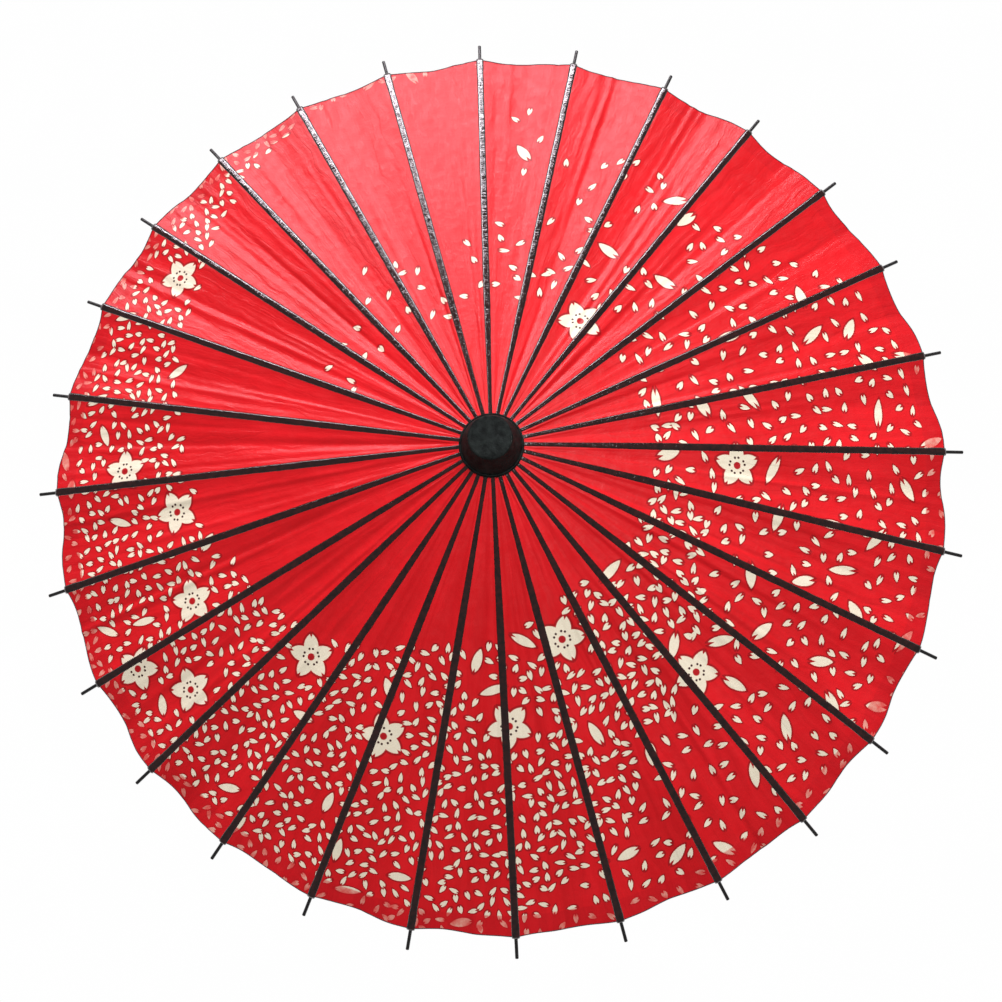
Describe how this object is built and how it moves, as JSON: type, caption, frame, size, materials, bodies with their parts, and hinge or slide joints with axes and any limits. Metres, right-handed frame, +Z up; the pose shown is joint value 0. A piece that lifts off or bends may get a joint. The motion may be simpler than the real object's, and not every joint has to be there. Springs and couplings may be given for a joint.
{
  "type": "oil paper umbrella",
  "caption": "Folding paper parasol with bamboo ribs and stretchers, a lacquered crown, and a runner held up by a sprung catch.",
  "frame": {"origin": "centre of the grip's bottom face", "axes": "+Z up the shaft, towards the crown; +X along rib 1, open"},
  "size_m": [0.8412, 0.8412, 0.56],
  "materials": {
    "canopy_paper": "satin",
    "rib_bamboo": "satin",
    "stretcher_bamboo": "satin",
    "shaft_wood": "satin",
    "runner_wood": "satin",
    "catch_brass": "brushed"
  },
  "bodies": {
    "stem": {"shaft_and_head": "shaft_wood", "canopy": "canopy_paper"},
    "catch": {"catch": "catch_brass"},
    "runner": {"runner": "runner_wood"},
    "rib_01": {"rib_01": "rib_bamboo"},
    "stretcher_01": {"stretcher_01": "stretcher_bamboo"},
    "rib_02": {"rib_02": "rib_bamboo"},
    "stretcher_02": {"stretcher_02": "stretcher_bamboo"},
    "rib_03": {"rib_03": "rib_bamboo"},
    "stretcher_03": {"stretcher_03": "stretcher_bamboo"},
    "rib_04": {"rib_04": "rib_bamboo"},
    "stretcher_04": {"stretcher_04": "stretcher_bamboo"},
    "rib_05": {"rib_05": "rib_bamboo"},
    "stretcher_05": {"stretcher_05": "stretcher_bamboo"},
    "rib_06": {"rib_06": "rib_bamboo"},
    "stretcher_06": {"stretcher_06": "stretcher_bamboo"},
    "rib_07": {"rib_07": "rib_bamboo"},
    "stretcher_07": {"stretcher_07": "stretcher_bamboo"},
    "rib_08": {"rib_08": "rib_bamboo"},
    "stretcher_08": {"stretcher_08": "stretcher_bamboo"},
    "rib_09": {"rib_09": "rib_bamboo"},
    "stretcher_09": {"stretcher_09": "stretcher_bamboo"},
    "rib_10": {"rib_10": "rib_bamboo"},
    "stretcher_10": {"stretcher_10": "stretcher_bamboo"},
    "rib_11": {"rib_11": "rib_bamboo"},
    "stretcher_11": {"stretcher_11": "stretcher_bamboo"},
    "rib_12": {"rib_12": "rib_bamboo"},
    "stretcher_12": {"stretcher_12": "stretcher_bamboo"},
    "rib_13": {"rib_13": "rib_bamboo"},
    "stretcher_13": {"stretcher_13": "stretcher_bamboo"},
    "rib_14": {"rib_14": "rib_bamboo"},
    "stretcher_14": {"stretcher_14": "stretcher_bamboo"},
    "rib_15": {"rib_15": "rib_bamboo"},
    "stretcher_15": {"stretcher_15": "stretcher_bamboo"},
    "rib_16": {"rib_16": "rib_bamboo"},
    "stretcher_16": {"stretcher_16": "stretcher_bamboo"},
    "rib_17": {"rib_17": "rib_bamboo"},
    "stretcher_17": {"stretcher_17": "stretcher_bamboo"},
    "rib_18": {"rib_18": "rib_bamboo"},
    "stretcher_18": {"stretcher_18": "stretcher_bamboo"},
    "rib_19": {"rib_19": "rib_bamboo"},
    "stretcher_19": {"stretcher_19": "stretcher_bamboo"},
    "rib_20": {"rib_20": "rib_bamboo"},
    "stretcher_20": {"stretcher_20": "stretcher_bamboo"},
    "rib_21": {"rib_21": "rib_bamboo"},
    "stretcher_21": {"stretcher_21": "stretcher_bamboo"},
    "rib_22": {"rib_22": "rib_bamboo"},
    "stretcher_22": {"stretcher_22": "stretcher_bamboo"},
    "rib_23": {"rib_23": "rib_bamboo"},
    "stretcher_23": {"stretcher_23": "stretcher_bamboo"},
    "rib_24": {"rib_24": "rib_bamboo"},
    "stretcher_24": {"stretcher_24": "stretcher_bamboo"},
    "rib_25": {"rib_25": "rib_bamboo"},
    "stretcher_25": {"stretcher_25": "stretcher_bamboo"},
    "rib_26": {"rib_26": "rib_bamboo"},
    "stretcher_26": {"stretcher_26": "stretcher_bamboo"},
    "rib_27": {"rib_27": "rib_bamboo"},
    "stretcher_27": {"stretcher_27": "stretcher_bamboo"},
    "rib_28": {"rib_28": "rib_bamboo"},
    "stretcher_28": {"stretcher_28": "stretcher_bamboo"}
  },
  "joints": [
    {"name": "fold", "type": "hinge", "parent": "stem", "child": "rib_01", "pos_m": [0.018, 0, 0.527], "axis": [0, 1, 0], "range_deg": [0, 68], "deforming": ["canopy", "catch"]},
    {"name": "stretcher_01_turn", "type": "hinge", "parent": "rib_01", "child": "stretcher_01", "pos_m": [0.18791, 0, 0.46759], "axis": [0, 1, 0], "range_deg": [-136, 0]},
    {"name": "rib_02_fold", "type": "hinge", "parent": "stem", "child": "rib_02", "pos_m": [0.01755, 0.004, 0.527], "axis": [-0.2225, 0.9749, 0], "range_deg": [0, 68]},
    {"name": "stretcher_02_turn", "type": "hinge", "parent": "rib_02", "child": "stretcher_02", "pos_m": [0.1832, 0.04181, 0.46759], "axis": [-0.2225, 0.9749, 0], "range_deg": [-136, 0]},
    {"name": "rib_03_fold", "type": "hinge", "parent": "stem", "child": "rib_03", "pos_m": [0.01622, 0.00781, 0.527], "axis": [-0.4339, 0.901, 0], "range_deg": [0, 68]},
    {"name": "stretcher_03_turn", "type": "hinge", "parent": "rib_03", "child": "stretcher_03", "pos_m": [0.1693, 0.08153, 0.46759], "axis": [-0.4339, 0.901, 0], "range_deg": [-136, 0]},
    {"name": "rib_04_fold", "type": "hinge", "parent": "stem", "child": "rib_04", "pos_m": [0.01407, 0.01122, 0.527], "axis": [-0.6235, 0.7818, 0], "range_deg": [0, 68]},
    {"name": "stretcher_04_turn", "type": "hinge", "parent": "rib_04", "child": "stretcher_04", "pos_m": [0.14691, 0.11716, 0.46759], "axis": [-0.6235, 0.7818, 0], "range_deg": [-136, 0]},
    {"name": "rib_05_fold", "type": "hinge", "parent": "stem", "child": "rib_05", "pos_m": [0.01122, 0.01407, 0.527], "axis": [-0.7818, 0.6235, 0], "range_deg": [0, 68]},
    {"name": "stretcher_05_turn", "type": "hinge", "parent": "rib_05", "child": "stretcher_05", "pos_m": [0.11716, 0.14691, 0.46759], "axis": [-0.7818, 0.6235, 0], "range_deg": [-136, 0]},
    {"name": "rib_06_fold", "type": "hinge", "parent": "stem", "child": "rib_06", "pos_m": [0.00781, 0.01622, 0.527], "axis": [-0.901, 0.4339, 0], "range_deg": [0, 68]},
    {"name": "stretcher_06_turn", "type": "hinge", "parent": "rib_06", "child": "stretcher_06", "pos_m": [0.08153, 0.1693, 0.46759], "axis": [-0.901, 0.4339, 0], "range_deg": [-136, 0]},
    {"name": "rib_07_fold", "type": "hinge", "parent": "stem", "child": "rib_07", "pos_m": [0.004, 0.01755, 0.527], "axis": [-0.9749, 0.2225, 0], "range_deg": [0, 68]},
    {"name": "stretcher_07_turn", "type": "hinge", "parent": "rib_07", "child": "stretcher_07", "pos_m": [0.04181, 0.1832, 0.46759], "axis": [-0.9749, 0.2225, 0], "range_deg": [-136, 0]},
    {"name": "rib_08_fold", "type": "hinge", "parent": "stem", "child": "rib_08", "pos_m": [0, 0.018, 0.527], "axis": [-1, 0, 0], "range_deg": [0, 68]},
    {"name": "stretcher_08_turn", "type": "hinge", "parent": "rib_08", "child": "stretcher_08", "pos_m": [0, 0.18791, 0.46759], "axis": [-1, 0, 0], "range_deg": [-136, 0]},
    {"name": "rib_09_fold", "type": "hinge", "parent": "stem", "child": "rib_09", "pos_m": [-0.004, 0.01755, 0.527], "axis": [-0.9749, -0.2225, 0], "range_deg": [0, 68]},
    {"name": "stretcher_09_turn", "type": "hinge", "parent": "rib_09", "child": "stretcher_09", "pos_m": [-0.04181, 0.1832, 0.46759], "axis": [-0.9749, -0.2225, 0], "range_deg": [-136, 0]},
    {"name": "rib_10_fold", "type": "hinge", "parent": "stem", "child": "rib_10", "pos_m": [-0.00781, 0.01622, 0.527], "axis": [-0.901, -0.4339, 0], "range_deg": [0, 68]},
    {"name": "stretcher_10_turn", "type": "hinge", "parent": "rib_10", "child": "stretcher_10", "pos_m": [-0.08153, 0.1693, 0.46759], "axis": [-0.901, -0.4339, 0], "range_deg": [-136, 0]},
    {"name": "rib_11_fold", "type": "hinge", "parent": "stem", "child": "rib_11", "pos_m": [-0.01122, 0.01407, 0.527], "axis": [-0.7818, -0.6235, 0], "range_deg": [0, 68]},
    {"name": "stretcher_11_turn", "type": "hinge", "parent": "rib_11", "child": "stretcher_11", "pos_m": [-0.11716, 0.14691, 0.46759], "axis": [-0.7818, -0.6235, 0], "range_deg": [-136, 0]},
    {"name": "rib_12_fold", "type": "hinge", "parent": "stem", "child": "rib_12", "pos_m": [-0.01407, 0.01122, 0.527], "axis": [-0.6235, -0.7818, 0], "range_deg": [0, 68]},
    {"name": "stretcher_12_turn", "type": "hinge", "parent": "rib_12", "child": "stretcher_12", "pos_m": [-0.14691, 0.11716, 0.46759], "axis": [-0.6235, -0.7818, 0], "range_deg": [-136, 0]},
    {"name": "rib_13_fold", "type": "hinge", "parent": "stem", "child": "rib_13", "pos_m": [-0.01622, 0.00781, 0.527], "axis": [-0.4339, -0.901, 0], "range_deg": [0, 68]},
    {"name": "stretcher_13_turn", "type": "hinge", "parent": "rib_13", "child": "stretcher_13", "pos_m": [-0.1693, 0.08153, 0.46759], "axis": [-0.4339, -0.901, 0], "range_deg": [-136, 0]},
    {"name": "rib_14_fold", "type": "hinge", "parent": "stem", "child": "rib_14", "pos_m": [-0.01755, 0.004, 0.527], "axis": [-0.2225, -0.9749, 0], "range_deg": [0, 68]},
    {"name": "stretcher_14_turn", "type": "hinge", "parent": "rib_14", "child": "stretcher_14", "pos_m": [-0.1832, 0.04181, 0.46759], "axis": [-0.2225, -0.9749, 0], "range_deg": [-136, 0]},
    {"name": "rib_15_fold", "type": "hinge", "parent": "stem", "child": "rib_15", "pos_m": [-0.018, 0, 0.527], "axis": [0, -1, 0], "range_deg": [0, 68]},
    {"name": "stretcher_15_turn", "type": "hinge", "parent": "rib_15", "child": "stretcher_15", "pos_m": [-0.18791, 0, 0.46759], "axis": [0, -1, 0], "range_deg": [-136, 0]},
    {"name": "rib_16_fold", "type": "hinge", "parent": "stem", "child": "rib_16", "pos_m": [-0.01755, -0.004, 0.527], "axis": [0.2225, -0.9749, 0], "range_deg": [0, 68]},
    {"name": "stretcher_16_turn", "type": "hinge", "parent": "rib_16", "child": "stretcher_16", "pos_m": [-0.1832, -0.04181, 0.46759], "axis": [0.2225, -0.9749, 0], "range_deg": [-136, 0]},
    {"name": "rib_17_fold", "type": "hinge", "parent": "stem", "child": "rib_17", "pos_m": [-0.01622, -0.00781, 0.527], "axis": [0.4339, -0.901, 0], "range_deg": [0, 68]},
    {"name": "stretcher_17_turn", "type": "hinge", "parent": "rib_17", "child": "stretcher_17", "pos_m": [-0.1693, -0.08153, 0.46759], "axis": [0.4339, -0.901, 0], "range_deg": [-136, 0]},
    {"name": "rib_18_fold", "type": "hinge", "parent": "stem", "child": "rib_18", "pos_m": [-0.01407, -0.01122, 0.527], "axis": [0.6235, -0.7818, 0], "range_deg": [0, 68]},
    {"name": "stretcher_18_turn", "type": "hinge", "parent": "rib_18", "child": "stretcher_18", "pos_m": [-0.14691, -0.11716, 0.46759], "axis": [0.6235, -0.7818, 0], "range_deg": [-136, 0]},
    {"name": "rib_19_fold", "type": "hinge", "parent": "stem", "child": "rib_19", "pos_m": [-0.01122, -0.01407, 0.527], "axis": [0.7818, -0.6235, 0], "range_deg": [0, 68]},
    {"name": "stretcher_19_turn", "type": "hinge", "parent": "rib_19", "child": "stretcher_19", "pos_m": [-0.11716, -0.14691, 0.46759], "axis": [0.7818, -0.6235, 0], "range_deg": [-136, 0]},
    {"name": "rib_20_fold", "type": "hinge", "parent": "stem", "child": "rib_20", "pos_m": [-0.00781, -0.01622, 0.527], "axis": [0.901, -0.4339, 0], "range_deg": [0, 68]},
    {"name": "stretcher_20_turn", "type": "hinge", "parent": "rib_20", "child": "stretcher_20", "pos_m": [-0.08153, -0.1693, 0.46759], "axis": [0.901, -0.4339, 0], "range_deg": [-136, 0]},
    {"name": "rib_21_fold", "type": "hinge", "parent": "stem", "child": "rib_21", "pos_m": [-0.004, -0.01755, 0.527], "axis": [0.9749, -0.2225, 0], "range_deg": [0, 68]},
    {"name": "stretcher_21_turn", "type": "hinge", "parent": "rib_21", "child": "stretcher_21", "pos_m": [-0.04181, -0.1832, 0.46759], "axis": [0.9749, -0.2225, 0], "range_deg": [-136, 0]},
    {"name": "rib_22_fold", "type": "hinge", "parent": "stem", "child": "rib_22", "pos_m": [0, -0.018, 0.527], "axis": [1, 0, 0], "range_deg": [0, 68]},
    {"name": "stretcher_22_turn", "type": "hinge", "parent": "rib_22", "child": "stretcher_22", "pos_m": [0, -0.18791, 0.46759], "axis": [1, 0, 0], "range_deg": [-136, 0]},
    {"name": "rib_23_fold", "type": "hinge", "parent": "stem", "child": "rib_23", "pos_m": [0.004, -0.01755, 0.527], "axis": [0.9749, 0.2225, 0], "range_deg": [0, 68]},
    {"name": "stretcher_23_turn", "type": "hinge", "parent": "rib_23", "child": "stretcher_23", "pos_m": [0.04181, -0.1832, 0.46759], "axis": [0.9749, 0.2225, 0], "range_deg": [-136, 0]},
    {"name": "rib_24_fold", "type": "hinge", "parent": "stem", "child": "rib_24", "pos_m": [0.00781, -0.01622, 0.527], "axis": [0.901, 0.4339, 0], "range_deg": [0, 68]},
    {"name": "stretcher_24_turn", "type": "hinge", "parent": "rib_24", "child": "stretcher_24", "pos_m": [0.08153, -0.1693, 0.46759], "axis": [0.901, 0.4339, 0], "range_deg": [-136, 0]},
    {"name": "rib_25_fold", "type": "hinge", "parent": "stem", "child": "rib_25", "pos_m": [0.01122, -0.01407, 0.527], "axis": [0.7818, 0.6235, 0], "range_deg": [0, 68]},
    {"name": "stretcher_25_turn", "type": "hinge", "parent": "rib_25", "child": "stretcher_25", "pos_m": [0.11716, -0.14691, 0.46759], "axis": [0.7818, 0.6235, 0], "range_deg": [-136, 0]},
    {"name": "rib_26_fold", "type": "hinge", "parent": "stem", "child": "rib_26", "pos_m": [0.01407, -0.01122, 0.527], "axis": [0.6235, 0.7818, 0], "range_deg": [0, 68]},
    {"name": "stretcher_26_turn", "type": "hinge", "parent": "rib_26", "child": "stretcher_26", "pos_m": [0.14691, -0.11716, 0.46759], "axis": [0.6235, 0.7818, 0], "range_deg": [-136, 0]},
    {"name": "rib_27_fold", "type": "hinge", "parent": "stem", "child": "rib_27", "pos_m": [0.01622, -0.00781, 0.527], "axis": [0.4339, 0.901, 0], "range_deg": [0, 68]},
    {"name": "stretcher_27_turn", "type": "hinge", "parent": "rib_27", "child": "stretcher_27", "pos_m": [0.1693, -0.08153, 0.46759], "axis": [0.4339, 0.901, 0], "range_deg": [-136, 0]},
    {"name": "rib_28_fold", "type": "hinge", "parent": "stem", "child": "rib_28", "pos_m": [0.01755, -0.004, 0.527], "axis": [0.2225, 0.9749, 0], "range_deg": [0, 68]},
    {"name": "stretcher_28_turn", "type": "hinge", "parent": "rib_28", "child": "stretcher_28", "pos_m": [0.1832, -0.04181, 0.46759], "axis": [0.2225, 0.9749, 0], "range_deg": [-136, 0]},
    {"name": "runner_slide", "type": "hinge", "parent": "stretcher_01", "child": "runner", "pos_m": [0.018, 0, 0.40817], "axis": [0, 1, 0], "range_deg": [0, 68]},
    {"name": "catch_press", "type": "hinge", "parent": "stem", "child": "catch", "pos_m": [0, -0.001, 0.31387], "axis": [1, 0, 0], "range_deg": [0, 3.5], "stiffness_Nm_per_rad": 0.3}
  ],
  "couplings": [
    {"joint": "stretcher_01_turn", "follows": "fold", "ratio": -2},
    {"joint": "rib_02_fold", "follows": "fold", "ratio": 1},
    {"joint": "stretcher_02_turn", "follows": "fold", "ratio": -2},
    {"joint": "rib_03_fold", "follows": "fold", "ratio": 1},
    {"joint": "stretcher_03_turn", "follows": "fold", "ratio": -2},
    {"joint": "rib_04_fold", "follows": "fold", "ratio": 1},
    {"joint": "stretcher_04_turn", "follows": "fold", "ratio": -2},
    {"joint": "rib_05_fold", "follows": "fold", "ratio": 1},
    {"joint": "stretcher_05_turn", "follows": "fold", "ratio": -2},
    {"joint": "rib_06_fold", "follows": "fold", "ratio": 1},
    {"joint": "stretcher_06_turn", "follows": "fold", "ratio": -2},
    {"joint": "rib_07_fold", "follows": "fold", "ratio": 1},
    {"joint": "stretcher_07_turn", "follows": "fold", "ratio": -2},
    {"joint": "rib_08_fold", "follows": "fold", "ratio": 1},
    {"joint": "stretcher_08_turn", "follows": "fold", "ratio": -2},
    {"joint": "rib_09_fold", "follows": "fold", "ratio": 1},
    {"joint": "stretcher_09_turn", "follows": "fold", "ratio": -2},
    {"joint": "rib_10_fold", "follows": "fold", "ratio": 1},
    {"joint": "stretcher_10_turn", "follows": "fold", "ratio": -2},
    {"joint": "rib_11_fold", "follows": "fold", "ratio": 1},
    {"joint": "stretcher_11_turn", "follows": "fold", "ratio": -2},
    {"joint": "rib_12_fold", "follows": "fold", "ratio": 1},
    {"joint": "stretcher_12_turn", "follows": "fold", "ratio": -2},
    {"joint": "rib_13_fold", "follows": "fold", "ratio": 1},
    {"joint": "stretcher_13_turn", "follows": "fold", "ratio": -2},
    {"joint": "rib_14_fold", "follows": "fold", "ratio": 1},
    {"joint": "stretcher_14_turn", "follows": "fold", "ratio": -2},
    {"joint": "rib_15_fold", "follows": "fold", "ratio": 1},
    {"joint": "stretcher_15_turn", "follows": "fold", "ratio": -2},
    {"joint": "rib_16_fold", "follows": "fold", "ratio": 1},
    {"joint": "stretcher_16_turn", "follows": "fold", "ratio": -2},
    {"joint": "rib_17_fold", "follows": "fold", "ratio": 1},
    {"joint": "stretcher_17_turn", "follows": "fold", "ratio": -2},
    {"joint": "rib_18_fold", "follows": "fold", "ratio": 1},
    {"joint": "stretcher_18_turn", "follows": "fold", "ratio": -2},
    {"joint": "rib_19_fold", "follows": "fold", "ratio": 1},
    {"joint": "stretcher_19_turn", "follows": "fold", "ratio": -2},
    {"joint": "rib_20_fold", "follows": "fold", "ratio": 1},
    {"joint": "stretcher_20_turn", "follows": "fold", "ratio": -2},
    {"joint": "rib_21_fold", "follows": "fold", "ratio": 1},
    {"joint": "stretcher_21_turn", "follows": "fold", "ratio": -2},
    {"joint": "rib_22_fold", "follows": "fold", "ratio": 1},
    {"joint": "stretcher_22_turn", "follows": "fold", "ratio": -2},
    {"joint": "rib_23_fold", "follows": "fold", "ratio": 1},
    {"joint": "stretcher_23_turn", "follows": "fold", "ratio": -2},
    {"joint": "rib_24_fold", "follows": "fold", "ratio": 1},
    {"joint": "stretcher_24_turn", "follows": "fold", "ratio": -2},
    {"joint": "rib_25_fold", "follows": "fold", "ratio": 1},
    {"joint": "stretcher_25_turn", "follows": "fold", "ratio": -2},
    {"joint": "rib_26_fold", "follows": "fold", "ratio": 1},
    {"joint": "stretcher_26_turn", "follows": "fold", "ratio": -2},
    {"joint": "rib_27_fold", "follows": "fold", "ratio": 1},
    {"joint": "stretcher_27_turn", "follows": "fold", "ratio": -2},
    {"joint": "rib_28_fold", "follows": "fold", "ratio": 1},
    {"joint": "stretcher_28_turn", "follows": "fold", "ratio": -2},
    {"joint": "runner_slide", "follows": "fold", "ratio": 1}
  ]
}
